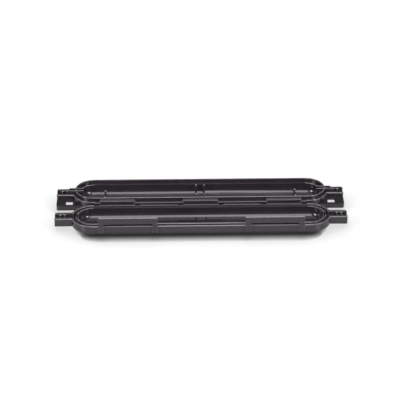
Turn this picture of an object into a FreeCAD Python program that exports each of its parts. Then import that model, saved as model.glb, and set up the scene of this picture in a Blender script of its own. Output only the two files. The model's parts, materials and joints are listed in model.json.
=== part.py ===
import FreeCAD, Part
import os
import re
import Sketcher

# Fibre splice box: two moulded troughs that hinge together, shown opened flat.
# Millimetres. X runs along the box, -Y faces the viewer, Z is up and the floor is Z = 0.
# Each half is drawn about its own middle with its parting plane at local Z = 0.

SIZES = [
    ("half_span", 74, "middle of the box to the centre of a rounded end"),
    ("hull_width", 30, "outside width of one half"),
    ("hull_depth", 10, "parting plane to the outside of the floor"),
    ("hull_round", 6, "outside radius under the floor"),
    ("floor_thick", 1.8, "floor under the trough"),
    ("trough_round", 5, "inside radius at the floor"),
    ("rim_width", 5, "outer wall face to trough wall"),
    ("bow_run", 7, "start of the rising underside to the trough's end wall"),
    ("bow_rise", 4.8, "height that the rising underside would reach at the port end"),
    ("edge_chamfer", 0.4, "bevelled outer, groove and port edges"),
    ("inner_chamfer", 0.2, "bevelled trough edges and inner edges"),
    ("parting_gap", 0.2, "space between the closed rims"),
    ("lip_outer", 1.6, "outer lip beside the groove"),
    ("groove_width", 1.7, "groove that takes the tongue"),
    ("groove_depth", 3.6, "groove depth over the seal"),
    ("port_groove_depth", 2.8, "groove depth beside the ports"),
    ("port_groove_half", 6.5, "half width of the shallow groove"),
    ("tongue_clear", 0.3, "tongue to the outer groove wall"),
    ("tongue_swing", 0.55, "tongue to the inner groove wall, room for the closing swing"),
    ("tongue_height", 2.4, "tongue above the parting plane"),
    ("tongue_chamfer", 0.35, "bevelled outer edge of the tongue"),
    ("tongue_lead", 0.4, "bevelled inner edge, which leads it into the groove"),
    ("seal_gap", 0.2, "closed tongue to seal"),
    ("port_reach", 11, "port beyond the hull"),
    ("port_width", 9, "port outside width"),
    ("port_depth", 6, "parting plane to port underside"),
    ("port_round", 1, "port end corners"),
    ("channel_width", 4.6, "cable channel width"),
    ("channel_depth", 3, "cable channel depth in each half"),
    ("tooth_first", 3.9, "port end to the first tooth pair"),
    ("tooth_pitch", 3.1, "first to second tooth pair"),
    ("tooth_base", 2.2, "tooth width at the wall"),
    ("tooth_reach", 1.35, "tooth height from the wall"),
    ("tooth_chamfer", 0.45, "bevelled tooth tops"),
    ("guide_length", 10, "raised cable guide"),
    ("guide_end", 8.7, "port end to the guide"),
    ("guide_clear", 0.3, "guide to cover channel, each side"),
    ("guide_slot", 2.4, "slot through the guide"),
    ("guide_height", 2, "guide above the parting plane"),
    ("ear_drop", 4, "parting plane to the ear top"),
    ("ear_thick", 1.6, "ear plate and its turned edge"),
    ("ear_inset", 2, "ear edge inside the line of the outer wall"),
    ("ear_lip_drop", 7.6, "parting plane to the foot of the turned edge"),
    ("ear_round", 1.5, "ear corner"),
    ("tie_from_end", 8.9, "port end to the middle of the tie slot"),
    ("tie_length", 4.8, "tie slot along the box"),
    ("tie_clear", 0.5, "port wall to the tie slot"),
    ("tie_width", 6, "tie slot across the box"),
    ("hinge_gap", 1.5, "outer wall to the hinge axis"),
    ("rod_radius", 1.1, "hinge rod"),
    ("rod_half", 73, "half length of the hinge rod"),
    ("hook_bore_clear", 0.1, "hook bore to rod"),
    ("hook_length", 24, "one hinge hook along the box"),
    ("hook_pitch", 57.5, "hook to hook"),
    ("hook_half", 2.4, "axis to the hook side face"),
    ("hook_front", 1.6, "axis to the front face above the rim"),
    ("hook_crown", 1.2, "axis to the far edge of the flat top"),
    ("hook_top", 2.35, "axis to the flat top"),
    ("hook_back", 0.9, "axis to the foot of the back slope"),
    ("hook_root", 2, "axis to the foot of a hook"),
    ("hook_tip", 0.7, "axis to the hook tip"),
    ("hook_round", 0.4, "front and far edges of the hook top"),
    ("hook_side_clear", 0.5, "hook end to the neighbouring web"),
    ("relief_radius", 3, "base cut-out round a hook"),
    ("lip_relief", 4, "lowered lip beside a hook"),
    ("lip_relief_drop", 0.5, "depth of the lowered lip"),
    ("hasp_middle", 49.75, "middle of the box to a hasp"),
    ("hasp_length", 40, "hasp along the box"),
    ("hasp_leg", 3.6, "hasp leg width"),
    ("hasp_thick", 1.2, "hasp plate"),
    ("hasp_gap", 0.5, "hasp plate to the wall it laps"),
    ("hasp_foot", 4.5, "parting plane to the foot of a leg"),
    ("hasp_top", 7.35, "parting plane to the top of the bar"),
    ("hasp_bar", 5, "bar height"),
    ("hasp_chamfer", 0.5, "bevelled outer edge of the bar"),
    ("catch_clear", 0.1, "catch face to hasp plate"),
    ("catch_end_clear", 0.7, "catch end to hasp leg"),
    ("catch_top", 0.2, "parting plane to the catch"),
    ("catch_bar_clear", 0.1, "closed catch to the bar below it"),
    ("rib_thick", 1.2, "ribs on the trough floors"),
    ("mid_rib_place", 2.8, "middle of the box to a middle rib"),
    ("mid_horn_place", 6.3, "middle of the base to a middle rib horn"),
    ("mid_horn_top", 1.6, "middle rib horn above the parting plane"),
    ("end_rib_place", 66.4, "middle of the box to an end rib"),
    ("end_horn_place", 4.3, "middle of the base to an end rib horn"),
    ("end_horn_drop", 1.5, "parting plane to the end rib horn"),
    ("horn_width", 1.8, "horn tip"),
    ("horn_bevel", 1.1, "height of the sloping horn tip"),
    ("rib_shoulder", 5, "parting plane to the rib shoulder"),
    ("stop_inner", 2.9, "middle of the box to a cover stop"),
    ("stop_length", 12.4, "cover stop along the box"),
    ("stop_near", 2, "middle of the cover to the near face of a stop"),
    ("stop_far", 2.9, "middle of the cover to the far end of a stop"),
    ("stop_drop", 3.7, "parting plane to the top of a stop"),
    ("root_depth", 0.6, "how far ribs and blocks run into the wall they grow from"),
]

doc = FreeCAD.newDocument("splice_box")
sizes = doc.addObject("Spreadsheet::Sheet", "Sizes")
for row, (alias, number, note) in enumerate(SIZES, start=1):
    sizes.set(f"A{row}", note)
    sizes.set(f"B{row}", str(number))
    sizes.setAlias(f"B{row}", alias)
doc.recompute()
ALIASES = {alias for alias, number, note in SIZES}

# Sizes that several features share, written as formulas of the cells above.
RADIUS = "(hull_width / 2)"
END = "(half_span + hull_width / 2 + port_reach)"
TOP = "(-parting_gap / 2)"
TROUGH = "(hull_width / 2 - rim_width)"
GROOVE_OUT = "(hull_width / 2 - lip_outer)"
GROOVE_IN = "(hull_width / 2 - lip_outer - groove_width)"
FLOOR_TOP = "(floor_thick - hull_depth)"
BOW = "(half_span + hull_width / 2 - rim_width - bow_run)"
HINGE = "(hull_width / 2 + hinge_gap)"
EAR_EDGE = "(hull_width / 2 - ear_inset)"
TIE_NEAR = "(port_width / 2 + tie_clear)"
GUIDE_HALF = "(channel_width / 2 - guide_clear)"
HOOK_BORE = "(rod_radius + hook_bore_clear)"
SEAL_FLOOR = "(-parting_gap / 2 - groove_depth)"
CATCH_FACE = "(hull_width / 2 + hasp_gap - catch_clear)"
CATCH_FOOT = "(hasp_top - hasp_bar - catch_bar_clear)"
WINDOW = "(hasp_length - 2 * hasp_leg)"


def formula(text):
    """Point every size name in a formula at its spreadsheet cell."""
    return re.sub(
        r"[a-z_]+", lambda m: "Sizes." + m[0] if m[0] in ALIASES else m[0], text
    )


def number_of(text):
    return float(sizes.evalExpression(formula(text)))


def bind(target, prop, text):
    target.setExpression(prop, formula(text))


def origin_item(body, role):
    return next(item for item in body.Origin.OriginFeatures if item.Role == role)


def new_body(label):
    body = doc.addObject("PartDesign::Body", label)
    body.Label = label
    return body


def new_sketch(body, name, role="XY_Plane", offset="0"):
    sketch = body.newObject("Sketcher::SketchObject", name)
    sketch.AttachmentSupport = (origin_item(body, role), [""])
    sketch.MapMode = "FlatFace"
    bind(sketch, "AttachmentOffset.Base.z", offset)
    return sketch


def dimension(sketch, text, kind, *where):
    """Add a sketch dimension driven by a formula."""
    index = sketch.addConstraint(Sketcher.Constraint(kind, *where, number_of(text)))
    bind(sketch, f"Constraints[{index}]", text)


def place_point(sketch, line, end, across, up):
    """Dimension one sketch point from the sketch origin."""
    for kind, text, axis in (("DistanceX", across, -2), ("DistanceY", up, -1)):
        size = number_of(text)
        if abs(size) < 1e-6:
            sketch.addConstraint(Sketcher.Constraint("PointOnObject", line, end, axis))
        elif size > 0:
            dimension(sketch, text, kind, -1, 1, line, end)
        else:
            dimension(sketch, f"-({text})", kind, line, end, -1, 1)


def polygon(sketch, points):
    """Closed outline of straight lines through dimensioned points."""
    spots = [FreeCAD.Vector(number_of(across), number_of(up), 0) for across, up in points]
    first = sketch.GeometryCount
    for start, finish in zip(spots, spots[1:] + spots[:1]):
        sketch.addGeometry(Part.LineSegment(start, finish))
    for step in range(len(points)):
        follower = first + (step + 1) % len(points)
        sketch.addConstraint(
            Sketcher.Constraint("Coincident", first + step, 2, follower, 1)
        )
    for step, (across, up) in enumerate(points):
        place_point(sketch, first + step, 1, across, up)


def rectangle(sketch, left, right, low, high):
    """Upright rectangle held by two dimensioned corners."""
    x_left, x_right = number_of(left), number_of(right)
    y_low, y_high = number_of(low), number_of(high)
    corners = [
        FreeCAD.Vector(x_left, y_low, 0),
        FreeCAD.Vector(x_right, y_low, 0),
        FreeCAD.Vector(x_right, y_high, 0),
        FreeCAD.Vector(x_left, y_high, 0),
    ]
    first = sketch.GeometryCount
    for start, finish in zip(corners, corners[1:] + corners[:1]):
        sketch.addGeometry(Part.LineSegment(start, finish))
    for step in range(4):
        follower = first + (step + 1) % 4
        sketch.addConstraint(
            Sketcher.Constraint("Coincident", first + step, 2, follower, 1)
        )
        direction = "Vertical" if step % 2 else "Horizontal"
        sketch.addConstraint(Sketcher.Constraint(direction, first + step))
    place_point(sketch, first, 1, left, low)
    place_point(sketch, first + 2, 1, right, high)


def circle(sketch, across, up, radius):
    centre = FreeCAD.Vector(number_of(across), number_of(up), 0)
    ring = sketch.addGeometry(
        Part.Circle(centre, FreeCAD.Vector(0, 0, 1), number_of(radius))
    )
    place_point(sketch, ring, 3, across, up)
    dimension(sketch, radius, "Radius", ring)


def stadium(sketch, radius):
    """Long outline with round ends, centred on the sketch origin."""
    span, size = number_of("half_span"), number_of(radius)
    axis = FreeCAD.Vector(0, 0, 1)
    quarter = 1.5707963267948966
    right_circle = Part.Circle(FreeCAD.Vector(span, 0, 0), axis, size)
    left_circle = Part.Circle(FreeCAD.Vector(-span, 0, 0), axis, size)
    right = sketch.addGeometry(Part.ArcOfCircle(right_circle, -quarter, quarter))
    left = sketch.addGeometry(Part.ArcOfCircle(left_circle, quarter, 3 * quarter))
    upper = sketch.addGeometry(
        Part.LineSegment(FreeCAD.Vector(span, size, 0), FreeCAD.Vector(-span, size, 0))
    )
    lower = sketch.addGeometry(
        Part.LineSegment(FreeCAD.Vector(-span, -size, 0), FreeCAD.Vector(span, -size, 0))
    )
    for first, end, second, start in (
        (right, 2, upper, 1),
        (upper, 2, left, 1),
        (left, 2, lower, 1),
        (lower, 2, right, 1),
    ):
        sketch.addConstraint(Sketcher.Constraint("Tangent", first, end, second, start))
    sketch.addConstraint(Sketcher.Constraint("PointOnObject", right, 3, -1))
    sketch.addConstraint(Sketcher.Constraint("PointOnObject", left, 3, -1))
    dimension(sketch, "half_span", "DistanceX", -1, 1, right, 3)
    dimension(sketch, "half_span", "DistanceX", left, 3, -1, 1)
    dimension(sketch, radius, "Radius", right)


def extrude(body, kind, name, sketch, length, reverse=False, both_ways=False):
    """Pad or pocket a sketch by a formula-driven length."""
    feature = body.newObject("PartDesign::" + kind, name)
    feature.Profile = sketch
    bind(feature, "Length", length)
    feature.Reversed = reverse
    if both_ways:
        feature.SideType = "Symmetric"
    sketch.Visibility = False
    body.Tip = feature
    doc.recompute()
    return feature


def pick_edges(body, test):
    """Names of the edges whose bounding box and middle point pass a test."""
    names = []
    for index, edge in enumerate(body.Tip.Shape.Edges, start=1):
        middle = edge.valueAt((edge.FirstParameter + edge.LastParameter) / 2)
        if test(edge.BoundBox, middle):
            names.append(f"Edge{index}")
    return names


def dress_edges(body, kind, name, size, test):
    """Fillet or chamfer the edges that pass a test."""
    base = body.Tip
    names = pick_edges(body, test)
    feature = body.newObject("PartDesign::" + kind, name)
    feature.Base = (base, names)
    bind(feature, "Radius" if kind == "Fillet" else "Size", size)
    body.Tip = feature
    doc.recompute()
    return feature


def round_edges(body, name, radius, test):
    return dress_edges(body, "Fillet", name, radius, test)


def bevel_edges(body, name, size, test):
    return dress_edges(body, "Chamfer", name, size, test)


def at_height(text):
    level = number_of(text)
    return lambda box, middle: abs(box.ZMin - level) < 1e-4 and abs(box.ZMax - level) < 1e-4


def mirror_ends(body, name, originals):
    feature = body.newObject("PartDesign::Mirrored", name)
    feature.Originals = originals
    feature.MirrorPlane = (origin_item(body, "YZ_Plane"), [""])
    body.Tip = feature
    doc.recompute()
    return feature


def repeat_hooks(body, name, original):
    """Repeat a hook feature at the three hook places."""
    feature = body.newObject("PartDesign::LinearPattern", name)
    feature.Originals = [original]
    feature.Direction = (origin_item(body, "X_Axis"), [""])
    feature.Occurrences = 3
    bind(feature, "Length", "2 * hook_pitch")
    body.Tip = feature
    doc.recompute()
    return feature


def make_hull(body):
    outline = new_sketch(body, "hull_outline", offset=TOP)
    stadium(outline, RADIUS)
    extrude(body, "Pad", "hull", outline, f"hull_depth + {TOP}", reverse=True)
    round_edges(body, "hull_underside", "hull_round", at_height("-hull_depth"))

    outline = new_sketch(body, "bow_outline", "XZ_Plane")
    for end in ("", "-"):
        polygon(
            outline,
            [
                (f"{end}{BOW}", "-hull_depth"),
                (f"{end}{END}", "-hull_depth"),
                (f"{end}{END}", "-hull_depth + bow_rise"),
            ],
        )
    extrude(body, "Pocket", "bows", outline, "2 * hull_width", both_ways=True)


def cut_trough(body):
    outline = new_sketch(body, "trough_outline", offset=TOP)
    stadium(outline, TROUGH)
    extrude(body, "Pocket", "trough", outline, f"{TOP} - {FLOOR_TOP}")
    round_edges(body, "trough_floor", "trough_round", at_height(FLOOR_TOP))


def add_ports(body):
    """Cable ports at both ends, from the lip outwards."""
    outline = new_sketch(body, "port_outline", offset=TOP)
    root = "(half_span + hull_width / 2 - lip_outer)"
    rectangle(outline, root, END, "-port_width / 2", "port_width / 2")
    rectangle(outline, f"-{END}", f"-{root}", "-port_width / 2", "port_width / 2")
    extrude(body, "Pad", "ports", outline, f"port_depth + {TOP}", reverse=True)
    reach, half = number_of(END), number_of("port_width / 2")
    round_edges(
        body,
        "port_corners",
        "port_round",
        lambda box, middle: abs(abs(middle.x) - reach) < 1e-4
        and abs(abs(middle.y) - half) < 1e-4
        and box.ZLength > 1,
    )
    level, hull_end = at_height(TOP), number_of(f"half_span + {RADIUS}")
    bevel_edges(
        body,
        "port_edges",
        "edge_chamfer",
        lambda box, middle: level(box, middle) and abs(middle.x) > hull_end,
    )


def add_teeth(body):
    """Two pairs of gripping teeth in each cable channel."""
    floor = f"({TOP} - channel_depth)"
    outline = new_sketch(body, "tooth_outline", offset=floor)
    wall = "channel_width / 2"
    for end in ("", "-"):
        for place in ("tooth_first", "(tooth_first + tooth_pitch)"):
            middle = f"{end}({END} - {place})"
            for side in ("", "-"):
                polygon(
                    outline,
                    [
                        (f"{middle} - tooth_base / 2", f"{side}({wall} + root_depth)"),
                        (f"{middle} - tooth_base / 2", f"{side}({wall})"),
                        (middle, f"{side}({wall} - tooth_reach)"),
                        (f"{middle} + tooth_base / 2", f"{side}({wall})"),
                        (f"{middle} + tooth_base / 2", f"{side}({wall} + root_depth)"),
                    ],
                )
    extrude(body, "Pad", "teeth", outline, "channel_depth")
    level, wall_face = at_height(TOP), number_of(wall)
    start = number_of(f"{END} - tooth_first - tooth_pitch - tooth_base / 2")
    end = number_of(f"{END} - tooth_first + tooth_base / 2")
    bevel_edges(
        body,
        "tooth_tops",
        "tooth_chamfer",
        lambda box, middle: level(box, middle)
        and start < abs(middle.x) < end
        and abs(middle.y) < wall_face - 1e-3
        and box.YLength > 0.1,
    )


def make_base():
    body = new_body("base_shell")
    make_hull(body)
    add_ears(body)

    tongue_out = f"({GROOVE_OUT} - tongue_clear)"
    tongue_in = f"({GROOVE_IN} + tongue_swing)"
    outline = new_sketch(body, "tongue_outline", offset=TOP)
    stadium(outline, tongue_out)
    stadium(outline, tongue_in)
    extrude(body, "Pad", "tongue", outline, f"tongue_height - {TOP}")
    cut_trough(body)
    bevel_edges(body, "tongue_outer_edge", "tongue_chamfer", rim_line("tongue_height", tongue_out))
    bevel_edges(body, "tongue_inner_edge", "tongue_lead", rim_line("tongue_height", tongue_in))
    bevel_edges(body, "rim_edge", "edge_chamfer", rim_line(TOP, RADIUS))
    bevel_edges(body, "trough_edge", "inner_chamfer", rim_line(TOP, TROUGH))
    add_ports(body)

    outline = new_sketch(body, "guide_outline", offset="guide_height")
    outer = f"({END} - guide_end)"
    inner = f"({END} - guide_end - guide_length)"
    rectangle(outline, inner, outer, f"-{GUIDE_HALF}", GUIDE_HALF)
    rectangle(outline, f"-{outer}", f"-{inner}", f"-{GUIDE_HALF}", GUIDE_HALF)
    depth = f"guide_height - {TOP} + channel_depth + root_depth"
    extrude(body, "Pad", "guides", outline, depth, reverse=True)

    outline = new_sketch(body, "guide_slot_outline", offset="guide_height")
    rectangle(outline, f"-{END}", END, "-guide_slot / 2", "guide_slot / 2")
    extrude(body, "Pocket", "guide_slots", outline, f"guide_height - {TOP} + channel_depth")

    outline = new_sketch(body, "channel_outline", offset=TOP)
    for left, right in ((outer, END), (f"-{END}", f"-{outer}")):
        rectangle(outline, left, right, "-channel_width / 2", "channel_width / 2")
    extrude(body, "Pocket", "channels", outline, "channel_depth")
    add_teeth(body)
    add_hinge_rod(body)
    add_catches(body)
    middle = add_rib(body, "middle_rib", "mid_rib_place", "mid_horn_place", "mid_horn_top")
    end = add_rib(body, "end_rib", "end_rib_place", "end_horn_place", "-end_horn_drop")
    mirror_ends(body, "ribs", [middle, end])
    return body


def rim_line(height, *distances):
    """Edges that run round the rim at a height, at one of these distances from the middle line."""
    level, span = number_of(height), number_of("half_span")
    wanted = [number_of(distance) for distance in distances]

    def test(box, middle):
        if abs(box.ZMin - level) > 1e-4 or abs(box.ZMax - level) > 1e-4:
            return False
        across = abs(middle.y) if abs(middle.x) <= span else abs(middle.x) - span
        return any(abs(across - distance) < 1e-3 for distance in wanted)

    return test


def add_ears(body):
    """Tie-down ears beside the ports on the hinge side of the base."""
    outline = new_sketch(body, "ear_outline", offset="-ear_drop")
    inner = "(half_span + root_depth)"
    for left, right in ((inner, END), (f"-{END}", f"-{inner}")):
        rectangle(outline, left, right, f"-{EAR_EDGE}", "-port_width / 2 + root_depth")
    extrude(body, "Pad", "ears", outline, "ear_thick", reverse=True)

    outline = new_sketch(body, "ear_lip_outline", offset="-ear_drop")
    inner = "(half_span + 5 * root_depth)"
    for left, right in ((inner, END), (f"-{END}", f"-{inner}")):
        rectangle(outline, left, right, f"-{EAR_EDGE}", f"-{EAR_EDGE} + ear_thick")
    extrude(body, "Pad", "ear_lips", outline, "ear_lip_drop - ear_drop", reverse=True)

    outline = new_sketch(body, "tie_slot_outline", offset="-ear_drop")
    slot_end = f"({END} - tie_from_end + tie_length / 2)"
    slot_start = f"({END} - tie_from_end - tie_length / 2)"
    for left, right in ((slot_start, slot_end), (f"-{slot_end}", f"-{slot_start}")):
        rectangle(outline, left, right, f"-{TIE_NEAR} - tie_width", f"-{TIE_NEAR}")
    extrude(body, "Pocket", "tie_slots", outline, "ear_thick")

    reach, edge = number_of(END), number_of(EAR_EDGE)
    round_edges(
        body,
        "ear_corners",
        "ear_round",
        lambda box, middle: abs(abs(middle.x) - reach) < 1e-4
        and abs(middle.y + edge) < 1e-4
        and box.ZLength > 1,
    )


def add_hinge_rod(body):
    """Moulded hinge rod, held by webs between the hook cut-outs."""
    hook_room = "(hook_length + 2 * hook_side_clear)"
    outline = new_sketch(body, "relief_outline", "YZ_Plane", "-hook_pitch")
    circle(outline, f"-{HINGE}", "0", "relief_radius")
    relief = extrude(body, "Pocket", "hook_relief", outline, hook_room, both_ways=True)
    repeat_hooks(body, "hook_reliefs", relief)

    outline = new_sketch(body, "web_outline")
    hook_end = f"{hook_room} / 2"
    for left, right in (
        ("-rod_half", f"-hook_pitch - {hook_end}"),
        (f"-hook_pitch + {hook_end}", f"-{hook_end}"),
        (hook_end, f"hook_pitch - {hook_end}"),
        (f"hook_pitch + {hook_end}", "rod_half"),
    ):
        rectangle(outline, left, right, f"-{HINGE}", f"-{RADIUS} + root_depth")
    extrude(body, "Pad", "rod_webs", outline, "rod_radius", reverse=True)

    outline = new_sketch(body, "rod_outline", "YZ_Plane")
    circle(outline, f"-{HINGE}", "0", "rod_radius")
    extrude(body, "Pad", "hinge_rod", outline, "2 * rod_half", both_ways=True)


def add_catches(body):
    """Catch ridges on the far wall, which the hasp bars drop past."""
    outline = new_sketch(body, "catch_outline", "XZ_Plane", f"-{CATCH_FACE}")
    half = f"({WINDOW} / 2 - catch_end_clear)"
    for side in ("-", ""):
        rectangle(
            outline,
            f"{side}hasp_middle - {half}",
            f"{side}hasp_middle + {half}",
            f"-{CATCH_FOOT}",
            "-catch_top",
        )
    extrude(body, "Pad", "catches", outline, f"{CATCH_FACE} - {RADIUS} + root_depth")


def add_rib(body, name, place, horn, top):
    """Cross rib with two pointed horns that keep a fibre in the middle."""
    outline = new_sketch(body, name + "_outline", "YZ_Plane", place)
    foot = f"({FLOOR_TOP} - root_depth)"
    wall = f"({TROUGH} + root_depth)"
    half = "horn_width / 2"
    right_side = [
        (wall, foot),
        (wall, "-rib_shoulder"),
        (f"{horn} + horn_width", "-rib_shoulder"),
        (f"{horn} + {half}", f"{top} - horn_bevel"),
        (horn, top),
        (f"{horn} - {half}", f"{top} - horn_bevel"),
        (f"{horn} - horn_width", "-rib_shoulder - rib_thick"),
    ]
    left_side = [(f"-({across})", up) for across, up in reversed(right_side)]
    polygon(outline, right_side + left_side)
    return extrude(body, "Pad", name, outline, "rib_thick", both_ways=True)


def make_cover():
    body = new_body("cover_shell")
    make_hull(body)

    outline = new_sketch(body, "groove_outline", offset=TOP)
    stadium(outline, GROOVE_OUT)
    stadium(outline, GROOVE_IN)
    extrude(body, "Pocket", "groove", outline, "groove_depth")

    outline = new_sketch(body, "port_block_outline", offset=f"{TOP} - port_groove_depth")
    outer = f"(half_span + {GROOVE_OUT} - edge_chamfer / 2)"
    for left, right in (("half_span", outer), (f"-{outer}", "-half_span")):
        rectangle(outline, left, right, "-port_groove_half", "port_groove_half")
    depth = "groove_depth - port_groove_depth + root_depth"
    extrude(body, "Pad", "port_blocks", outline, depth, reverse=True)
    cut_trough(body)
    bevel_edges(body, "rim_edges", "edge_chamfer", rim_line(TOP, RADIUS, GROOVE_OUT, GROOVE_IN))
    bevel_edges(body, "trough_edge", "inner_chamfer", rim_line(TOP, TROUGH))
    add_ports(body)

    outline = new_sketch(body, "channel_outline", offset=TOP)
    rectangle(outline, f"-{END}", END, "-channel_width / 2", "channel_width / 2")
    extrude(body, "Pocket", "channels", outline, "channel_depth")
    add_teeth(body)
    add_hooks(body)
    add_hasps(body)

    outline = new_sketch(body, "stop_outline", offset="-stop_drop")
    stop_end = "stop_inner + stop_length"
    stop_corners = [
        ("stop_inner", "-stop_near"),
        (stop_end, "-stop_near"),
        (stop_end, "-stop_near + rib_thick"),
        ("stop_inner + rib_thick", "-stop_near + rib_thick"),
        ("stop_inner + rib_thick", "stop_far"),
        ("stop_inner", "stop_far"),
    ]
    polygon(outline, stop_corners)
    depth = f"-stop_drop - {FLOOR_TOP} + root_depth"
    stop = extrude(body, "Pad", "stop", outline, depth, reverse=True)
    mirror_ends(body, "stops", [stop])
    return body


def add_hooks(body):
    """Three hooks that snap over the hinge rod."""
    outline = new_sketch(body, "hook_outline", "YZ_Plane", "-hook_pitch")
    inner = f"({HINGE} - hook_half)"
    outer = f"({HINGE} + hook_half)"
    mouth = f"({HINGE} - rod_radius)"
    polygon(
        outline,
        [
            (inner, "-hook_root"),
            (inner, f"{TOP} - edge_chamfer"),
            (f"({HINGE} - hook_front)", f"{TOP} - edge_chamfer"),
            (f"({HINGE} - hook_front)", "hook_top"),
            (f"({HINGE} + hook_crown)", "hook_top"),
            (outer, "hook_back"),
            (outer, "-hook_tip"),
            (mouth, "-hook_tip"),
            (mouth, "-hook_root"),
        ],
    )
    hook = extrude(body, "Pad", "hook", outline, "hook_length", both_ways=True)
    repeat_hooks(body, "hooks", hook)
    round_edges(body, "hook_edges", "hook_round", hook_edge_test())

    outline = new_sketch(body, "hook_bore_outline", "YZ_Plane")
    circle(outline, HINGE, "0", HOOK_BORE)
    extrude(body, "Pocket", "hook_bores", outline, "2 * rod_half", both_ways=True)

    outline = new_sketch(body, "lip_relief_outline", offset=TOP)
    for middle in ("-hook_pitch", "0", "hook_pitch"):
        for near, far in (
            ("hook_length / 2", "hook_length / 2 + lip_relief"),
            ("-hook_length / 2 - lip_relief", "-hook_length / 2"),
        ):
            rectangle(
                outline, f"{middle} + {near}", f"{middle} + {far}", GROOVE_OUT, RADIUS
            )
    extrude(body, "Pocket", "lip_reliefs", outline, "lip_relief_drop")


def hook_edge_test():
    """Long edges of the flat hook tops."""
    level = at_height("hook_top")
    return lambda box, middle: level(box, middle) and box.XLength > 1


def add_hasps(body):
    """Two window hasps on the near wall; legs moulded to the wall below the rim."""
    face = f"({RADIUS} + hasp_gap)"
    outline = new_sketch(body, "hasp_outline", "XZ_Plane", face)
    bar = "hasp_top - hasp_bar"
    for side in ("-", ""):
        left = f"{side}hasp_middle - hasp_length / 2"
        right = f"{side}hasp_middle + hasp_length / 2"
        polygon(
            outline,
            [
                (left, "-hasp_foot"),
                (f"{left} + hasp_leg", "-hasp_foot"),
                (f"{left} + hasp_leg", bar),
                (f"{right} - hasp_leg", bar),
                (f"{right} - hasp_leg", "-hasp_foot"),
                (right, "-hasp_foot"),
                (right, "hasp_top"),
                (left, "hasp_top"),
            ],
        )
    roots = new_sketch(body, "hasp_root_outline", "XZ_Plane", face)
    for side in ("-", ""):
        left = f"{side}hasp_middle - hasp_length / 2"
        right = f"{side}hasp_middle + hasp_length / 2"
        rectangle(roots, left, f"{left} + hasp_leg", "-hasp_foot", f"{TOP} - edge_chamfer")
        rectangle(roots, f"{right} - hasp_leg", right, "-hasp_foot", f"{TOP} - edge_chamfer")
    extrude(body, "Pad", "hasp_roots", roots, "hasp_gap + root_depth", reverse=True)
    extrude(body, "Pad", "hasps", outline, "hasp_thick")
    top, plate = number_of("hasp_top"), number_of(f"{face} + hasp_thick / 2")
    for name, size, side in (("hasp_outer_edge", "hasp_chamfer", 1), ("hasp_inner_edge", "inner_chamfer", -1)):
        bevel_edges(
            body,
            name,
            size,
            lambda box, middle: abs(middle.z - top) < 1e-4
            and box.XLength > 1
            and (abs(middle.y) - plate) * side > 0.1,
        )


def make_seal(label, side):
    """Rubber strip on the groove floor along one long side and round its corners."""
    body = new_body(label)
    outline = new_sketch(body, label + "_outline", offset=SEAL_FLOOR)
    stadium(outline, GROOVE_OUT)
    stadium(outline, GROOVE_IN)
    height = f"-tongue_height - seal_gap - {SEAL_FLOOR}"
    extrude(body, "Pad", label + "_ring", outline, height)
    outline = new_sketch(body, label + "_trim", offset="0")
    limit = "(port_groove_half + seal_gap)"
    low, high = (f"-{RADIUS}", limit) if side > 0 else (f"-{limit}", RADIUS)
    rectangle(outline, f"-{END}", END, low, high)
    extrude(body, "Pocket", label + "_cut", outline, "groove_depth + parting_gap")
    return body


def place_half(body, side):
    """Stand a half beside the hinge axis, with the whole box centred on the origin."""
    shift = "(hasp_thick + catch_clear) / 2"
    bind(body, "Placement.Base.y", f"{side}{HINGE} + {shift}")
    bind(body, "Placement.Base.z", "hull_depth")


base = make_base()
cover = make_cover()
rear_seal = make_seal("rim_seal_rear", 1)
front_seal = make_seal("rim_seal_front", -1)
place_half(base, "")
for part in (cover, rear_seal, front_seal):
    place_half(part, "-")
doc.recompute()

for item in doc.Objects:
    if {"Invalid", "Error"} & set(item.State):
        raise RuntimeError(f"{item.Name} did not compute: {item.State}")
os.makedirs("parts", exist_ok=True)
for body in (base, cover, rear_seal, front_seal):
    shape = body.Shape
    if shape.isNull() or not shape.isValid() or len(shape.Solids) != 1:
        raise RuntimeError(f"{body.Label} is not one valid solid")
    shape.exportStep(f"parts/{body.Label}.step")
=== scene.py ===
"""Fibre splice box, opened flat: the dressed model on a pale studio floor.

Laid out as an add-on and run as a script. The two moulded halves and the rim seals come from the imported
frame and get softened edges and finishes. The cover's underside is raised at both ends, and the marks
left by the mould's ejector pins are added.
"""

import json
import math

import bmesh
import bpy
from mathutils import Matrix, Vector


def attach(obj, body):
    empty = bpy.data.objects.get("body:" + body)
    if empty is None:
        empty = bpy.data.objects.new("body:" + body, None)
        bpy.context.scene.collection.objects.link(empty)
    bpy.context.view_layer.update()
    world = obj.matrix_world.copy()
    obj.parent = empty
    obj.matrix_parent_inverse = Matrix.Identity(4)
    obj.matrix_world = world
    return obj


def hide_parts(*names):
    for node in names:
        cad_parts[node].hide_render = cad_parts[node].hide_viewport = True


bl_info = {
    "name": "Fibre Splice Box",
    "version": (1, 0, 0),
    "blender": (4, 5, 0),
    "location": "3D View > Sidebar > Splice Box",
    "description": "Dresses the two halves of a hinged fibre splice box and sets its studio",
    "category": "Object",
}

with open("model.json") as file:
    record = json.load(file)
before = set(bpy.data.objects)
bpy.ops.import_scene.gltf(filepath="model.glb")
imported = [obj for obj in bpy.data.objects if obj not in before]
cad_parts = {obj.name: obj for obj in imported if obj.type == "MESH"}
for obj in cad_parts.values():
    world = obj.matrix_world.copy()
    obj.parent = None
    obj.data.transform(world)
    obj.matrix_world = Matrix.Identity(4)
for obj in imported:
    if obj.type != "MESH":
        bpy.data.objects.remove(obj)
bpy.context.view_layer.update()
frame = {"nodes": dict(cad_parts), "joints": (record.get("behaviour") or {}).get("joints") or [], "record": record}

MILLIMETRE = 0.001
HALVES = {"base": "base_shell", "cover": "cover_shell"}
SEALS = ("rim_seal_rear", "rim_seal_front")

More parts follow.
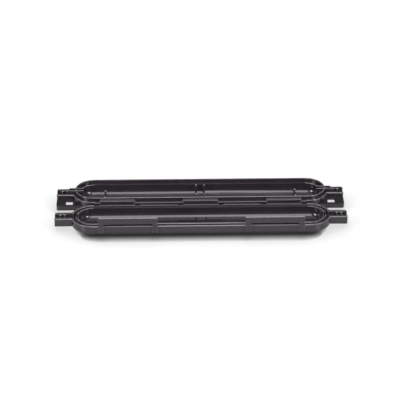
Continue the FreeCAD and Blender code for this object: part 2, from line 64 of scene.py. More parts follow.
# Lines along the box: the hinge, and the middle of each half, which the hinge mirrors.
HINGE_LINE = next(joint["pos_m"][1] for joint in frame["joints"] if joint["name"] == "cover_hinge")
BASE_MIDDLE = next(
    mount["pos_m"][1] for mount in frame["record"]["mounts"] if mount["name"] == "base_underside"
)
COVER_MIDDLE = 2 * HINGE_LINE - BASE_MIDDLE

# Mesh work: how near corners are welded or cut, and what still counts as flat.
WELD_NEAR = 0.001 * MILLIMETRE
SLIVER = 0.002 * MILLIMETRE
CUT_NEAR = 0.02 * MILLIMETRE
FLAT_ANGLE = math.radians(0.2)
ROUND_SEGMENTS = 2

# The raised bow: the cells that it is cut into, and the slope from which a face belongs to the underside.
BOW_CELL = 0.8 * MILLIMETRE
UNDER_SLOPE = -0.02

# Which narrow faces get a painted highlight along the edge, and how strong it is, from 0 to 1.
HIGHLIGHT_MARK = "along_edge"
STRIP_WIDTH = 1.2 * MILLIMETRE
CREASED_SHARE = 0.8
UPWARD_SLOPE = 0.2
SIDEWAYS_SLOPE = 0.1
LIP_LENGTH = 5 * MILLIMETRE
HIGHLIGHT_FROM = 7.5 * MILLIMETRE
PROUD_FROM = 11 * MILLIMETRE
TIP_HIGHLIGHT = 1.0
LIP_HIGHLIGHT = 0.7
FLAT_HIGHLIGHT = 0.15
KNUCKLE_FROM = 11.6 * MILLIMETRE
KNUCKLE_REACH = 2.6 * MILLIMETRE
KNUCKLE_HIGHLIGHT = 0.38

# Ejector pin marks: the facets round a mark, and round the section of its lip.
PIN_FACETS = 40
LIP_FACETS = 8

# Shared by the finishes.
POLYMER_IOR = 1.5
BLACK = (0.0, 0.0, 0.0, 1.0)

# Softboxes: their width and height, and where each one hangs, in metres.
KEY_SIZE = (0.9, 0.85)
KEY_PLACE = (0.0, -1.03, 1.22)
TOP_SIZE = (2.0, 1.4)
TOP_PLACE = (0.0, -0.05, 1.6)
SIDE_SIZE = (0.42, 0.42)
LEFT_PLACE = (-1.05, -0.763, 0.71)
RIGHT_PLACE = (0.95, -0.885, 0.72)

# The rest of the stage: metres from the floor's middle to its sides, its cells, the panels of the screen
# round it, and the camera's sensor in millimetres.
FLOOR_REACH = 4.0
FLOOR_CELLS = 8
SCREEN_PANELS = 96
SENSOR_WIDTH = 36.0


# Node graphs.


class Signal:
    """One output socket that takes part in Python expressions; every operator adds a Math node."""

    def __init__(self, graph, socket):
        self.graph = graph
        self.socket = socket

    def _math(self, operation, first, second, clamp=False):
        settings = {"operation": operation, "use_clamp": clamp}
        return self.graph.add("ShaderNodeMath", settings, {0: first, 1: second})

    def __add__(self, other):
        return self._math("ADD", self, other)

    def __radd__(self, other):
        return self._math("ADD", other, self)

    def __sub__(self, other):
        return self._math("SUBTRACT", self, other)

    def __rsub__(self, other):
        return self._math("SUBTRACT", other, self)

    def __mul__(self, other):
        return self._math("MULTIPLY", self, other)

    def __rmul__(self, other):
        return self._math("MULTIPLY", other, self)

    def clamped(self):
        """The same value, held between 0 and 1."""
        return self._math("ADD", self, 0.0, clamp=True)

    def swing(self, span):
        """A value from 0 to 1 as a rise and fall round zero, span from end to end."""
        return (self - 0.5) * span


class Graph:
    """A node tree being wired: a finish, the room's light or a Geometry Nodes group."""

    def __init__(self, tree):
        self.tree = tree

    def add(self, kind, settings=None, inputs=None, output=0):
        """Adds a node, sets its settings, fills or links its sockets and hands back one output."""
        node = self.tree.nodes.new(kind)
        for name, value in (settings or {}).items():
            setattr(node, name, value)
        for key, value in (inputs or {}).items():
            if isinstance(value, Signal):
                self.tree.links.new(value.socket, node.inputs[key])
            else:
                node.inputs[key].default_value = value
        if not node.outputs:
            return None
        return Signal(self, node.outputs[output])

    def place(self):
        """Where a point lies on its own object."""
        return self.add("ShaderNodeTexCoord", output="Object")

    def ramp(self, value, start, end):
        """0 below start, 1 above end, and smooth between them."""
        settings = {"interpolation_type": "SMOOTHSTEP", "clamp": True}
        inputs = {"Value": value, "From Min": start, "From Max": end}
        return self.add("ShaderNodeMapRange", settings, inputs)

    def mix_colours(self, factor, first, second):
        """A colour that goes from first to second as factor goes from 0 to 1."""
        settings = {"data_type": "RGBA", "clamp_factor": True}
        # The node has like-named sockets for every type of data, so its colour ones go by number.
        return self.add("ShaderNodeMix", settings, {0: factor, 6: first, 7: second}, output=2)

    def noise(self, place, size, detail=2.0, roughness=0.5):
        """Noise from 0 to 1 whose lumps are about size metres across."""
        inputs = {"Vector": place, "Scale": 1.0 / size, "Detail": detail, "Roughness": roughness}
        return self.add("ShaderNodeTexNoise", {"noise_dimensions": "3D"}, inputs)

    def bump(self, height, strength, depth):
        """A normal that follows height, where a height of 1 stands for depth metres."""
        inputs = {"Strength": strength, "Distance": depth, "Height": height}
        return self.add("ShaderNodeBump", None, inputs)

    def surface(self, inputs):
        """Ends a finish with a Principled shader that has these inputs."""
        shader = self.add("ShaderNodeBsdfPrincipled", None, inputs)
        self.add("ShaderNodeOutputMaterial", None, {"Surface": shader})


def new_finish(name):
    """An empty material and the graph that wires it."""
    material = bpy.data.materials.new(name)
    material.use_nodes = True
    material.node_tree.nodes.clear()
    return material, Graph(material.node_tree)


def opaque(colour):
    """A colour property as the four numbers that a socket takes."""
    return (colour[0], colour[1], colour[2], 1.0)


# Finishes.


def moulded_plastic(looks):
    """Black satin plastic: spark-eroded grain, flow clouds, and a patchy painted highlight along the edges."""
    cloud_size = 16 * MILLIMETRE
    flow_width = 2.4 * MILLIMETRE
    flow_stretch = (0.12, 1.0, 1.0)
    patch_size = 1.1 * MILLIMETRE
    least_highlight = 0.7
    bump_strength, bump_depth, flow_height = 0.15, 0.03 * MILLIMETRE, 0.6
    # How far the clouds, the flow and the grain change the roughness, and how far the painted edge highlight
    # lowers it.
    cloud_share, flow_share, grain_share, highlight_share = 0.08, 0.06, 0.05, 0.06

    material, graph = new_finish("moulded_plastic")
    place = graph.place()
    grain = graph.noise(place, looks.grain_size, detail=3.0, roughness=0.6)
    clouds = graph.noise(place, cloud_size)
    stretched = graph.add("ShaderNodeMapping", None, {"Vector": place, "Scale": flow_stretch})
    flow = graph.noise(stretched, flow_width, detail=3.0)
    highlight_patches = graph.noise(place, patch_size, detail=4.0, roughness=0.65)

    # Painted highlight: faces marked along the edges are mixed towards a pale colour, in noisy patches, and get a
    # little glossier.
    edges = graph.add("ShaderNodeAttribute", {"attribute_name": HIGHLIGHT_MARK}, output="Fac")
    patchy = graph.ramp(highlight_patches, start=0.30, end=0.62)
    edge_highlight = edges * (least_highlight + (1.0 - least_highlight) * patchy)
    cloudy = graph.ramp(clouds, start=0.3, end=0.7)
    clouded = graph.mix_colours(cloudy, opaque(looks.plastic), opaque(looks.plastic_pale))
    unworn = looks.roughness + clouds.swing(cloud_share) + flow.swing(flow_share) + grain.swing(grain_share)
    graph.surface(
        {
            "Base Color": graph.mix_colours(edge_highlight, clouded, opaque(looks.plastic_highlight)),
            "Roughness": (unworn - edge_highlight * highlight_share).clamped(),
            "IOR": POLYMER_IOR,
            "Normal": graph.bump(grain + flow * flow_height, bump_strength, bump_depth),
        }
    )
    return material


def seal_rubber(looks):
    """Soft black rubber: matte, a little cloudy with bloom, and finely pitted."""
    pit_size = 0.25 * MILLIMETRE
    pit_strength, pit_depth = 0.5, 0.05 * MILLIMETRE
    bloom_size = 5 * MILLIMETRE
    bloom_share = 0.15

    material, graph = new_finish("seal_rubber")
    place = graph.place()
    pits = graph.noise(place, pit_size, detail=3.0, roughness=0.65)
    bloom = graph.noise(place, bloom_size, detail=4.0, roughness=0.6)
    bloomed = graph.ramp(bloom, start=0.45, end=0.75)
    graph.surface(
        {
            "Base Color": graph.mix_colours(bloomed, opaque(looks.rubber), opaque(looks.rubber_bloom)),
            "Roughness": looks.rubber_roughness + bloom.swing(bloom_share),
            "IOR": POLYMER_IOR,
            "Normal": graph.bump(pits, pit_strength, pit_depth),
        }
    )
    return material


def pin_polish(looks):
    """The shell's plastic where it lay on an ejector pin: smoother, with the fine marks of the pin."""
    cloud_size = 1.5 * MILLIMETRE
    cloud_share = 0.08
    mark_size = 0.15 * MILLIMETRE
    mark_strength, mark_depth = 0.2, 0.01 * MILLIMETRE
    smoother = 0.1

    material, graph = new_finish("pin_polish")
    place = graph.place()
    clouds = graph.noise(place, cloud_size)
    fine = graph.noise(place, mark_size)
    graph.surface(
        {
            "Base Color": graph.mix_colours(clouds, opaque(looks.plastic), opaque(looks.plastic_pale)),
            "Roughness": looks.roughness - smoother + clouds.swing(cloud_share),
            "IOR": POLYMER_IOR,
            "Normal": graph.bump(fine, mark_strength, mark_depth),
        }
    )
    return material


def seen_rays(graph):
    """1 for what the camera sees directly or in a reflection, 0 for light that falls on the box."""
    direct = graph.add("ShaderNodeLightPath", output="Is Camera Ray")
    paths = direct.socket.node.outputs
    mirrored = Signal(graph, paths["Is Glossy Ray"])
    through = Signal(graph, paths["Is Transmission Ray"])
    return (direct + mirrored + through).clamped()


def studio_floor(looks):
    """Pale, faintly glossy tabletop: white to the camera; it keeps the lamps' shadow of the box, and a painted
    shade darkens it near the box.
    """
    haze_size = 0.4
    roughness, haze_share = 0.3, 0.06
    least_glow = 0.05
    shade_rays = 16

    material, graph = new_finish("studio_floor")
    place = graph.place()
    haze = graph.noise(place, haze_size)
    clear = graph.mix_colours(haze, opaque(looks.floor), opaque(looks.floor_haze))
    # Painted shade: ambient occlusion darkens the tabletop's colour and its lift near the box, reaching less far
    # past the shells' ends, below the ports and the tie slots.
    along = graph.add("ShaderNodeSeparateXYZ", None, {0: place}, output="X")
    past_shells = graph.ramp(along * along, looks.shade_end**2, (looks.shade_end + looks.shade_fade) ** 2)
    contact = looks.contact_reach - past_shells * (looks.contact_reach - looks.slot_reach)
    wide, close = (
        graph.add("ShaderNodeAmbientOcclusion", {"samples": shade_rays}, {"Distance": reach}, output="AO")
        for reach in (looks.shade_reach, contact)
    )
    lit = least_glow + (1.0 - least_glow) * (close * close)
    graph.surface(
        {
            "Base Color": graph.mix_colours(wide * wide, BLACK, clear),
            "Roughness": roughness + haze.swing(haze_share),
            "Emission Color": graph.mix_colours(seen_rays(graph) * lit, BLACK, opaque(looks.floor_glow)),
            "Emission Strength": 1.0,
        }
    )
    return material


def studio_backdrop(looks):
    """Low white screen round the table: its reflection draws the far edges of the moulding."""
    haze_size = 0.6
    roughness = 0.8

    material, graph = new_finish("studio_backdrop")
    haze = graph.noise(graph.place(), haze_size)
    graph.surface(
        {
            "Base Color": graph.mix_colours(haze, opaque(looks.floor), opaque(looks.floor_haze)),
            "Roughness": roughness,
            "Emission Color": graph.mix_colours(seen_rays(graph), BLACK, opaque(looks.screen_glow)),
            "Emission Strength": 1.0,
        }
    )
    return material


# Mesh work.


def linked(name, data):
    """A new object in the scene that shows this data."""
    item = bpy.data.objects.new(name, data)
    bpy.context.scene.collection.objects.link(item)
    return item


def welded(node):
    """A working copy of a CAD node's mesh, with its corners welded."""
    work = bmesh.new()
    work.from_mesh(frame["nodes"][node].data)
    bmesh.ops.remove_doubles(work, verts=work.verts, dist=WELD_NEAR)
    return work


def join_flats(work):
    """Joins the facets that lie in one plane."""
    bmesh.ops.dissolve_limit(
        work, angle_limit=FLAT_ANGLE, use_dissolve_boundaries=False, verts=work.verts, edges=work.edges
    )


def shaded_piece(work, name, smooth_angle):
    """The working mesh as an object, shaded smooth up to the crease angle."""
    for face in work.faces:
        face.smooth = True
    for edge in work.edges:
        edge.smooth = edge.calc_face_angle(0.0) < smooth_angle
    mesh = bpy.data.meshes.new(name)
    work.to_mesh(mesh)
    work.free()
    return linked(name, mesh)


def sliced(work, faces, place, direction):
    """Cuts these faces along a plane and hands back all the faces that they became."""
    parts = dict.fromkeys(part for face in faces for part in (*face.verts, *face.edges))
    cut = bmesh.ops.bisect_plane(
        work, geom=[*faces, *parts], dist=CUT_NEAR, plane_co=place, plane_no=direction
    )
    return [item for item in cut["geom"] if isinstance(item, bmesh.types.BMFace)]


def end_underside(work, side, middle, looks):
    """The hull's underside beyond the centre of one rounded end, cut into small cells."""
    lengthways, crossways = (1.0, 0.0, 0.0), (0.0, 1.0, 0.0)
    centre, reach = looks.bow_centre, looks.bow_reach
    cells = range(1, round(reach / BOW_CELL))
    under = [
        face
        for face in work.faces
        if face.normal.z < UNDER_SLOPE
        and centre < max(side * vert.co.x for vert in face.verts) < centre + reach + BOW_CELL
    ]
    under = sliced(work, under, (side * centre, 0.0, 0.0), lengthways)
    under = [face for face in under if side * face.calc_center_median().x > centre]
    for step in cells:
        under = sliced(work, under, (side * (centre + step * BOW_CELL), 0.0, 0.0), lengthways)
    for step in (*cells, 0, *(-cell for cell in cells)):
        under = sliced(work, under, (0.0, middle + step * BOW_CELL, 0.0), crossways)
    return under


def cone_height(along, across, looks):
    """Height of the raised bow at a point, given from the centre of the rounded end."""
    turn = min(along / looks.bow_blend, 1.0)
    drop = looks.bow_drop * (1.0 - turn * turn * (3.0 - 2.0 * turn))
    past_flat = math.hypot(along, across) - looks.bow_flat
    return looks.bow_rise * past_flat / (looks.bow_reach - looks.bow_flat) - drop


def raise_bows(work, middle, looks):
    """Lifts the hull's underside to a shallow cone round both ends, with a rounded join to the hull."""
    for side in (1, -1):
        under = end_underside(work, side, middle, looks)
        for vert in {vert for face in under for vert in face.verts}:
            cone = cone_height(side * vert.co.x - looks.bow_centre, vert.co.y - middle, looks)
            overlap = max(looks.bow_soft - abs(vert.co.z - cone), 0.0)
            vert.co.z = max(vert.co.z, cone) + overlap * overlap / (4.0 * looks.bow_soft)


def soften_edges(work, middle, looks):
    """Rounds the outer creases a little and marks the narrow faces that get a painted highlight."""
    mark = work.faces.layers.float.new(HIGHLIGHT_MARK)
    creases = {
        edge for edge in work.edges if edge.is_convex and edge.calc_face_angle(0.0) > looks.smooth_angle
    }
    for face in work.faces:
        rim = sum(edge.calc_length() for edge in face.edges)
        outer = sum(edge.calc_length() for edge in face.edges if edge in creases)
        slender = 2 * face.calc_area() < STRIP_WIDTH * rim
        if slender and outer > CREASED_SHARE * rim and abs(face.normal.z) > UPWARD_SLOPE:
            face[mark] = painted_highlight(face, middle)
        elif on_knuckle(face):
            # The tops of the hinge's hooks get a weaker painted highlight.
            face[mark] = KNUCKLE_HIGHLIGHT
    spans = [(min(axis), max(axis)) for axis in zip(*(vert.co for vert in work.verts))]
    rounded = bmesh.ops.bevel(
        work,
        geom=[edge for edge in work.edges if edge in creases],
        offset=looks.edge_round,
        offset_type="OFFSET",
        segments=ROUND_SEGMENTS,
        profile=0.5,
        affect="EDGES",
        clamp_overlap=False,
        miter_outer="ARC",
    )
    for face in rounded["faces"]:
        face[mark] = painted_highlight(face, middle)
    # Rounding can push a sharp corner out a little, so every point is kept inside the piece's own box.
    for vert in work.verts:
        vert.co = [min(max(value, low), high) for value, (low, high) in zip(vert.co, spans)]
    bmesh.ops.dissolve_degenerate(work, dist=SLIVER, edges=work.edges)
    strays = [vert for vert in work.verts if not vert.link_faces]
    bmesh.ops.delete(work, geom=strays, context="VERTS")


def on_knuckle(face):
    """Whether a face belongs to the tops of the hinge's hooks, which stand above both rims."""
    place = face.calc_center_median()
    return place.z > KNUCKLE_FROM and abs(place.y - HINGE_LINE) < KNUCKLE_REACH


def painted_highlight(face, middle):
    """How strong the painted highlight on a narrow face is.

    Most on tips and round the ends, less along the lips, and not at all low down or on an edge that leans
    into the trough.
    """
    place = face.calc_center_median()
    if place.z < HIGHLIGHT_FROM:
        return 0.0
    if max(edge.calc_length() for edge in face.edges) < LIP_LENGTH:
        return TIP_HIGHLIGHT
    outward = math.copysign(face.normal.y, face.normal.y * (place.y - middle))
    if outward < -SIDEWAYS_SLOPE:
        return 0.0
    if outward > SIDEWAYS_SLOPE or place.z > PROUD_FROM:
        return LIP_HIGHLIGHT
    return FLAT_HIGHLIGHT


def even_normals(piece):
    """Shades each face by its own slope, with the turn taken up by the narrow faces along the creases."""
    weighted = piece.modifiers.new("even_normals", "WEIGHTED_NORMAL")
    weighted.keep_sharp = True


def pin_mark_tree(finish):
    """Geometry Nodes group: a row of low round pads with a raised lip, as ejector pins leave them."""
    kinds = {
        "Count": "NodeSocketInt",
        "First": "NodeSocketVector",
        "Step": "NodeSocketVector",
        "Pin Radius": "NodeSocketFloat",
        "Rise": "NodeSocketFloat",
        "Lip Width": "NodeSocketFloat",
    }
    tree = bpy.data.node_groups.new("ejector_pin_marks", "GeometryNodeTree")
    for name, kind in kinds.items():
        tree.interface.new_socket(name=name, in_out="INPUT", socket_type=kind)
    tree.interface.new_socket(name="Geometry", in_out="OUTPUT", socket_type="NodeSocketGeometry")
    graph = Graph(tree)
    sizes = {name: graph.add("NodeGroupInput", output=name) for name in kinds}
    row = graph.add(
        "GeometryNodeMeshLine",
        {"mode": "OFFSET", "count_mode": "TOTAL"},
        {"Count": sizes["Count"], "Start Location": sizes["First"], "Offset": sizes["Step"]},
    )
    pad = graph.add(
        "GeometryNodeMeshCylinder",
        {"fill_type": "NGON"},
        {"Vertices": PIN_FACETS, "Radius": sizes["Pin Radius"], "Depth": sizes["Rise"]},
    )
    rim, section = (
        graph.add("GeometryNodeCurvePrimitiveCircle", None, {"Resolution": facets, "Radius": radius})
        for facets, radius in ((PIN_FACETS, sizes["Pin Radius"]), (LIP_FACETS, sizes["Lip Width"] * 0.5))
    )
    lip = graph.add("GeometryNodeCurveToMesh", None, {"Curve": rim, "Profile Curve": section})
    both = graph.add("GeometryNodeJoinGeometry")
    for part in (pad, lip):
        tree.links.new(part.socket, both.socket.node.inputs[0])
    marks = graph.add("GeometryNodeInstanceOnPoints", None, {"Points": row, "Instance": both})
    solid = graph.add("GeometryNodeRealizeInstances", None, {"Geometry": marks})
    flat = graph.add("GeometryNodeSetShadeSmooth", None, {"Geometry": solid, "Shade Smooth": False})
    dressed = graph.add("GeometryNodeSetMaterial", None, {"Geometry": flat, "Material": finish})
    graph.add("NodeGroupOutput", None, {"Geometry": dressed})
    return tree


def grown_mesh(name, tree, values):
    """The mesh that a Geometry Nodes group makes from these values, as a plain object."""
    carrier = linked(name + "_carrier", bpy.data.meshes.new(name + "_carrier"))
    maker = carrier.modifiers.new("maker", "NODES")
    maker.node_group = tree
    for item in tree.interface.items_tree:
        if item.in_out == "INPUT":
            maker[item.identifier] = values[item.name]
    ready = carrier.evaluated_get(bpy.context.evaluated_depsgraph_get())
    mesh = bpy.data.meshes.new_from_object(ready)
    mesh.name = name
    bpy.data.objects.remove(carrier)
    if not mesh.polygons:
        raise RuntimeError(f"{name}: its nodes made no faces")
    return linked(name, mesh)


# Properties.


def colour_property(name, description, default):
    """A colour, as linear red, green and blue."""
    return bpy.props.FloatVectorProperty(
        name=name, description=description, default=default, size=3, min=0.0, max=1.0, subtype="COLOR"
    )


def length_property(name, description, default):
    """A length or place, in metres."""
    return bpy.props.FloatProperty(
        name=name, description=description, default=default, precision=5, unit="LENGTH", subtype="DISTANCE"
    )


def angle_property(name, description, degrees):
    """An angle, given here in degrees."""
    return bpy.props.FloatProperty(
        name=name, description=description, default=math.radians(degrees), unit="ROTATION", subtype="ANGLE"
    )


def share_property(name, description, default):
    """A share from 0 to 1."""
    return bpy.props.FloatProperty(
        name=name, description=description, default=default, min=0.0, max=1.0, subtype="FACTOR"
    )


def radiance_property(name, description, default):
    """How bright the face of a lamp is."""
    return bpy.props.FloatProperty(name=name, description=description, default=default, min=0.0)


class ShellLooks(bpy.types.PropertyGroup):
    """Finish, edges and raised bow of the two moulded halves."""

    plastic: colour_property("Plastic", "Colour of the black plastic", (0.0200, 0.0158, 0.0204))
    plastic_pale: colour_property(
        "Plastic, paler", "Colour in the paler flow clouds", (0.0238, 0.0192, 0.0242)
    )
    # Painted highlight: the pale colour that the marked edges are mixed towards.
    plastic_highlight: colour_property(
        "Plastic, worn", "Colour of edges burnished by handling", (0.180, 0.170, 0.180)
    )
    roughness: share_property("Roughness", "How matte the satin finish is", 0.18)
    grain_size: length_property("Grain", "Width of the mould's spark-eroded grain", 0.22 * MILLIMETRE)
    edge_round: length_property(
        "Edge rounding", "Width of the soft edge along every outer crease", 0.14 * MILLIMETRE
    )
    smooth_angle: angle_property("Crease angle", "Faces that meet at more than this have a crease", 32)
    base_middle: length_property("Middle of the base", "Where the base's middle line lies", BASE_MIDDLE)
    cover_middle: length_property("Middle of the cover", "Where the cover's middle line lies", COVER_MIDDLE)
    bow_centre: length_property(
        "Bow centre", "Where the rounded ends of the hull have their centre", 74.0 * MILLIMETRE
    )
    bow_reach: length_property("Bow reach", "From that centre to the hull's end", 15.0 * MILLIMETRE)
    bow_flat: length_property("Bow flat", "From that centre to the start of the rise", 2.0 * MILLIMETRE)
    bow_rise: length_property(
        "Bow rise", "How far the cover's underside rises at its ends", 3.9 * MILLIMETRE
    )
    bow_blend: length_property(
        "Bow blend", "Length over which the rise comes in along the sides", 6.5 * MILLIMETRE
    )
    bow_drop: length_property(
        "Bow drop", "How far the rise lies below the floor where it comes in", 5.0 * MILLIMETRE
    )
    bow_soft: length_property(
        "Bow softness", "Height over which the rise rounds into the wall", 0.8 * MILLIMETRE
    )


class SealLooks(bpy.types.PropertyGroup):
    """Finish of the rubber strips in the cover's rim."""

    rubber: colour_property("Rubber", "Colour of the seal", (0.010, 0.010, 0.011))
    rubber_bloom: colour_property(
        "Rubber, bloomed", "Colour where the rubber has bloomed", (0.022, 0.022, 0.023)
    )
    rubber_roughness: share_property("Roughness", "How matte the rubber is", 0.62)


class PinMarkSizes(bpy.types.PropertyGroup):
    """The marks of the mould's ejector pins on the trough floors."""

    count: bpy.props.IntProperty(name="Marks", description="Marks in each half", default=4, min=2, max=12)
    first: length_property("First mark", "Where the row starts along the box", -57.0 * MILLIMETRE)
    pitch: length_property("Pitch", "Distance from mark to mark", 38.0 * MILLIMETRE)
    radius: length_property("Pin radius", "Radius of one mark", 2.0 * MILLIMETRE)
    rise: length_property("Rise", "How far a mark stands above the floor", 0.08 * MILLIMETRE)
    lip: length_property("Lip", "Width of the raised lip round a mark", 0.16 * MILLIMETRE)
    floor: length_property("Trough floor", "Height of the trough's floor", 1.8 * MILLIMETRE)
    base_line: length_property("Row in the base", "Where the row lies across the base", 18.5 * MILLIMETRE)
    cover_line: length_property(
        "Row in the cover", "Where the row lies across the cover", -14.2 * MILLIMETRE
    )


class StudioLooks(bpy.types.PropertyGroup):
    """Floor, screen, lamps and camera."""

    floor: colour_property("Floor", "Colour of the tabletop", (0.33, 0.33, 0.33))
    floor_haze: colour_property("Floor, hazed", "Colour of its hazier patches", (0.315, 0.315, 0.32))
    floor_glow: colour_property("Floor lift", "What the tabletop adds where it is seen", (0.69, 0.69, 0.69))
    screen_glow: colour_property("Screen", "White of the screen round the table", (1.0, 1.0, 1.0))
    screen_rise: angle_property("Screen rise", "Angle that the screen covers above the tabletop", 17)
    screen_distance: length_property("Screen distance", "From the box to the screen", 1.9)
    # These reaches size the painted shade that ambient occlusion lays on the tabletop.
    contact_reach: length_property(
        "Contact shade", "How far from the shells the tabletop darkens most", 6.6 * MILLIMETRE
    )
    slot_reach: length_property(
        "Contact shade, ends", "The same below the ports and the tie slots", 3.2 * MILLIMETRE
    )
    shade_end: length_property(
        "Shade end", "Where along the box the contact shade starts to shrink", 68.0 * MILLIMETRE
    )
    shade_fade: length_property("Shade fade", "Length over which it shrinks", 18.0 * MILLIMETRE)
    shade_reach: length_property(
        "Soft shade", "How far from the box the tabletop is shaded", 18.0 * MILLIMETRE
    )
    sky: colour_property("Room", "Light of the room round the table", (0.105, 0.105, 0.105))
    key_light: radiance_property("Key", "Radiance of the front softbox", 5.6)
    top_light: radiance_property("Top", "Radiance of the overhead softbox", 0.8)
    side_light: radiance_property("Sides", "Radiance of the two side lamps", 20.5)
    camera_rise: angle_property("Camera rise", "Angle at which the camera looks down", 29.65)
    camera_turn: angle_property(
        "Camera turn", "How far the camera stands round the box from straight ahead", -1.13
    )
    camera_distance: length_property("Camera distance", "From the camera to the middle of the box", 1.207)
    lens: bpy.props.FloatProperty(
        name="Lens", description="Focal length on a 36 mm sensor", default=157.1, unit="CAMERA", min=1.0
    )
    aim: bpy.props.FloatVectorProperty(
        name="Aim",
        description="Point of the box behind the middle of the picture",
        default=(-0.0004, 0.0018, 0.0112),
        size=3,
        subtype="XYZ",
        unit="LENGTH",
    )


# Operators.


class SPLICEBOX_OT_dress_shells(bpy.types.Operator):
    """Replace the two CAD halves by copies with softened edges in satin black plastic"""

    bl_idname = "splicebox.dress_shells"
    bl_label = "Dress the Shells"

    def execute(self, context):
        looks = context.scene.splice_box_shells
        plastic = moulded_plastic(looks)
        middles = {"base": looks.base_middle, "cover": looks.cover_middle}
        for body, node in HALVES.items():
            work = welded(node)
            if body == "cover":
                raise_bows(work, middles[body], looks)
            join_flats(work)
            soften_edges(work, middles[body], looks)
            piece = shaded_piece(work, node + "_moulding", looks.smooth_angle)
            even_normals(piece)
            piece.data.materials.append(plastic)
            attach(piece, body)
            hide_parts(node)
        return {"FINISHED"}


class SPLICEBOX_OT_dress_seals(bpy.types.Operator):
    """Replace the two CAD seals by smooth copies in black rubber"""

    bl_idname = "splicebox.dress_seals"
    bl_label = "Dress the Seals"

    def execute(self, context):
        rubber = seal_rubber(context.scene.splice_box_seals)
        smooth_angle = context.scene.splice_box_shells.smooth_angle
        for node in SEALS:
            work = welded(node)
            join_flats(work)
            piece = shaded_piece(work, node + "_strip", smooth_angle)
            piece.data.materials.append(rubber)
            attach(piece, "cover")
            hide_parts(node)
        return {"FINISHED"}


class SPLICEBOX_OT_add_pin_marks(bpy.types.Operator):
    """Add the round marks that the mould's ejector pins leave on the trough floors"""

    bl_idname = "splicebox.add_pin_marks"
    bl_label = "Add Ejector Pin Marks"

    def execute(self, context):
        sizes = context.scene.splice_box_pin_marks
        tree = pin_mark_tree(pin_polish(context.scene.splice_box_shells))
        for body, line in (("base", sizes.base_line), ("cover", sizes.cover_line)):
            values = {
                "Count": sizes.count,
                "First": (sizes.first, line, sizes.floor),
                "Step": (sizes.pitch, 0.0, 0.0),
                "Pin Radius": sizes.radius,
                "Rise": sizes.rise,
                "Lip Width": sizes.lip,
            }
            piece = grown_mesh(body + "_pin_marks", tree, values)
            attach(piece, body)
        return {"FINISHED"}


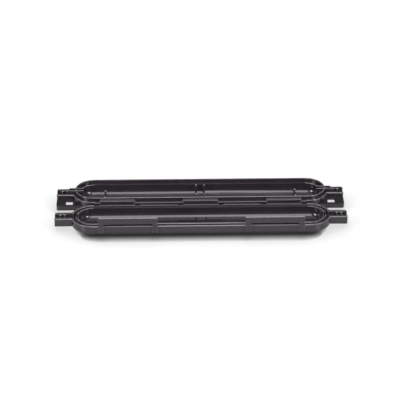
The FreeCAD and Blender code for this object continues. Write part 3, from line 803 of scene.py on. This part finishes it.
class SPLICEBOX_OT_set_stage(bpy.types.Operator):
    """Set the floor, the screen, the softboxes, the room's light and the camera"""

    bl_idname = "splicebox.set_stage"
    bl_label = "Set the Stage"

    def execute(self, context):
        looks = context.scene.splice_box_studio
        context.scene.view_settings.view_transform = "Standard"
        self.lay_floor(looks)
        self.stand_screen(looks)
        self.light_room(context.scene, looks)
        self.hang_softbox("front_softbox", looks.key_light, KEY_SIZE, KEY_PLACE)
        self.hang_softbox("top_softbox", looks.top_light, TOP_SIZE, TOP_PLACE)
        self.hang_softbox("left_softbox", looks.side_light, SIDE_SIZE, LEFT_PLACE)
        self.hang_softbox("right_softbox", looks.side_light, SIDE_SIZE, RIGHT_PLACE)
        self.place_camera(context.scene, looks)
        return {"FINISHED"}

    @staticmethod
    def stage_piece(work, name, finish):
        """The working mesh as a piece of the stage, in this finish."""
        mesh = bpy.data.meshes.new(name)
        work.to_mesh(mesh)
        work.free()
        mesh.materials.append(finish)
        return linked(name, mesh)

    def lay_floor(self, looks):
        """The tabletop that the box lies on."""
        work = bmesh.new()
        bmesh.ops.create_grid(work, x_segments=FLOOR_CELLS, y_segments=FLOOR_CELLS, size=FLOOR_REACH)
        floor = self.stage_piece(work, "studio_floor", studio_floor(looks))

    def stand_screen(self, looks):
        """A ring of white screen round the table, facing the box."""
        work = bmesh.new()
        bmesh.ops.create_circle(work, segments=SCREEN_PANELS, radius=looks.screen_distance)
        rising = bmesh.ops.extrude_edge_only(work, edges=work.edges)["geom"]
        corners = [item for item in rising if isinstance(item, bmesh.types.BMVert)]
        height = looks.screen_distance * math.tan(looks.screen_rise)
        bmesh.ops.translate(work, verts=corners, vec=(0.0, 0.0, height))
        bmesh.ops.recalc_face_normals(work, faces=work.faces)
        bmesh.ops.reverse_faces(work, faces=work.faces)
        screen = self.stage_piece(work, "studio_backdrop", studio_backdrop(looks))

    @staticmethod
    def light_room(scene, looks):
        """Even light from every side."""
        world = bpy.data.worlds.new("studio_room")
        world.use_nodes = True
        world.node_tree.nodes.clear()
        graph = Graph(world.node_tree)
        light = graph.add("ShaderNodeBackground", None, {"Color": opaque(looks.sky), "Strength": 1.0})
        graph.add("ShaderNodeOutputWorld", None, {"Surface": light})
        scene.world = world

    @staticmethod
    def face_back(item, away):
        """Turns a lamp or camera that stands out along away, so that it looks back."""
        item.rotation_mode = "QUATERNION"
        item.rotation_quaternion = (-away).to_track_quat("-Z", "Y")

    def hang_softbox(self, name, radiance, size, place):
        """An area lamp of this radiance and size at this place, aimed at the box."""
        lamp = bpy.data.lights.new(name, "AREA")
        lamp.shape = "RECTANGLE"
        lamp.size, lamp.size_y = size
        lamp.energy = radiance * math.pi * size[0] * size[1]
        holder = linked(name, lamp)
        holder.location = place
        self.face_back(holder, Vector(place).normalized())

    def place_camera(self, scene, looks):
        """The camera that takes the photograph's view."""
        lens = bpy.data.cameras.new("photo_view")
        lens.lens = looks.lens
        lens.sensor_width = SENSOR_WIDTH
        camera = linked("photo_view", lens)
        rise, turn = looks.camera_rise, looks.camera_turn
        away = Vector(
            (math.sin(turn) * math.cos(rise), -math.cos(turn) * math.cos(rise), math.sin(rise))
        )
        camera.location = Vector(looks.aim) + away * looks.camera_distance
        self.face_back(camera, away)
        scene.camera = camera


class SPLICEBOX_PT_steps(bpy.types.Panel):
    """The steps that dress the splice box, in order"""

    bl_idname = "SPLICEBOX_PT_steps"
    bl_label = "Fibre Splice Box"
    bl_space_type = "VIEW_3D"
    bl_region_type = "UI"
    bl_category = "Splice Box"

    def draw(self, context):
        column = self.layout.column(align=True)
        for step in STEPS:
            column.operator(step.bl_idname)


STEPS = (
    SPLICEBOX_OT_dress_shells,
    SPLICEBOX_OT_dress_seals,
    SPLICEBOX_OT_add_pin_marks,
    SPLICEBOX_OT_set_stage,
)
GROUPS = {
    "splice_box_shells": ShellLooks,
    "splice_box_seals": SealLooks,
    "splice_box_pin_marks": PinMarkSizes,
    "splice_box_studio": StudioLooks,
}


def register():
    """Adds the settings, the steps and the panel to Blender."""
    for name, group in GROUPS.items():
        bpy.utils.register_class(group)
        setattr(bpy.types.Scene, name, bpy.props.PointerProperty(type=group))
    for step in STEPS:
        bpy.utils.register_class(step)
    bpy.utils.register_class(SPLICEBOX_PT_steps)


def unregister():
    """Takes them out again, in the opposite order."""
    bpy.utils.unregister_class(SPLICEBOX_PT_steps)
    for step in reversed(STEPS):
        bpy.utils.unregister_class(step)
    for name, group in reversed(GROUPS.items()):
        delattr(bpy.types.Scene, name)
        bpy.utils.unregister_class(group)


def main():
    """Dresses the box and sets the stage."""
    register()
    bpy.ops.splicebox.dress_shells()
    bpy.ops.splicebox.dress_seals()
    bpy.ops.splicebox.add_pin_marks()
    bpy.ops.splicebox.set_stage()


if __name__ == "__main__":
    main()
